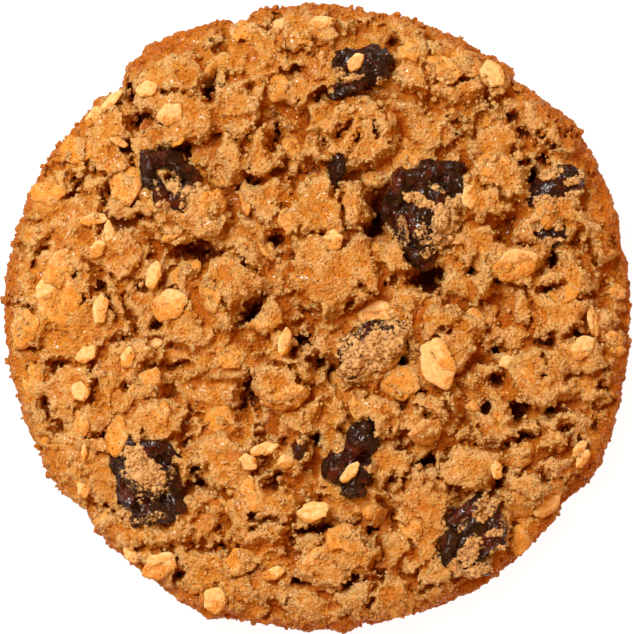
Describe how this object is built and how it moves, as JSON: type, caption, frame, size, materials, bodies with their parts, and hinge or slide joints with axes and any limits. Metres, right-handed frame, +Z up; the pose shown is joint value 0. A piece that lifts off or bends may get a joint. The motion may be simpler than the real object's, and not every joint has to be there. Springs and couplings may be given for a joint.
{
  "type": "oatmeal raisin cookie",
  "caption": "Thick round oatmeal cookie with a rough, clumpy, cracked top, a rounded crumbly rim, a flat underside, and dark wrinkled raisins sunk into the dough.",
  "frame": {"origin": "centre of the flat underside, on which the cookie rests", "axes": "+Z up through the thickness, +X and +Y across the disc"},
  "size_m": [0.0798, 0.0798, 0.0135],
  "materials": {
    "dough": "baked, matte, rough",
    "raisin": "wrinkled, glossy",
    "raisin_coated": "wrinkled, smeared with dough"
  },
  "bodies": {
    "root": {"cookie": "dough", "raisin_top": "raisin", "raisin_upper_left": "raisin", "raisin_upper_right": "raisin", "raisin_right": "raisin", "raisin_right_inner": "raisin_coated", "raisin_middle": "raisin_coated", "raisin_lower_left": "raisin_coated", "raisin_bottom": "raisin", "raisin_lower_right": "raisin", "raisin_slit": "raisin", "raisin_sunken": "raisin"}
  },
  "joints": []
}
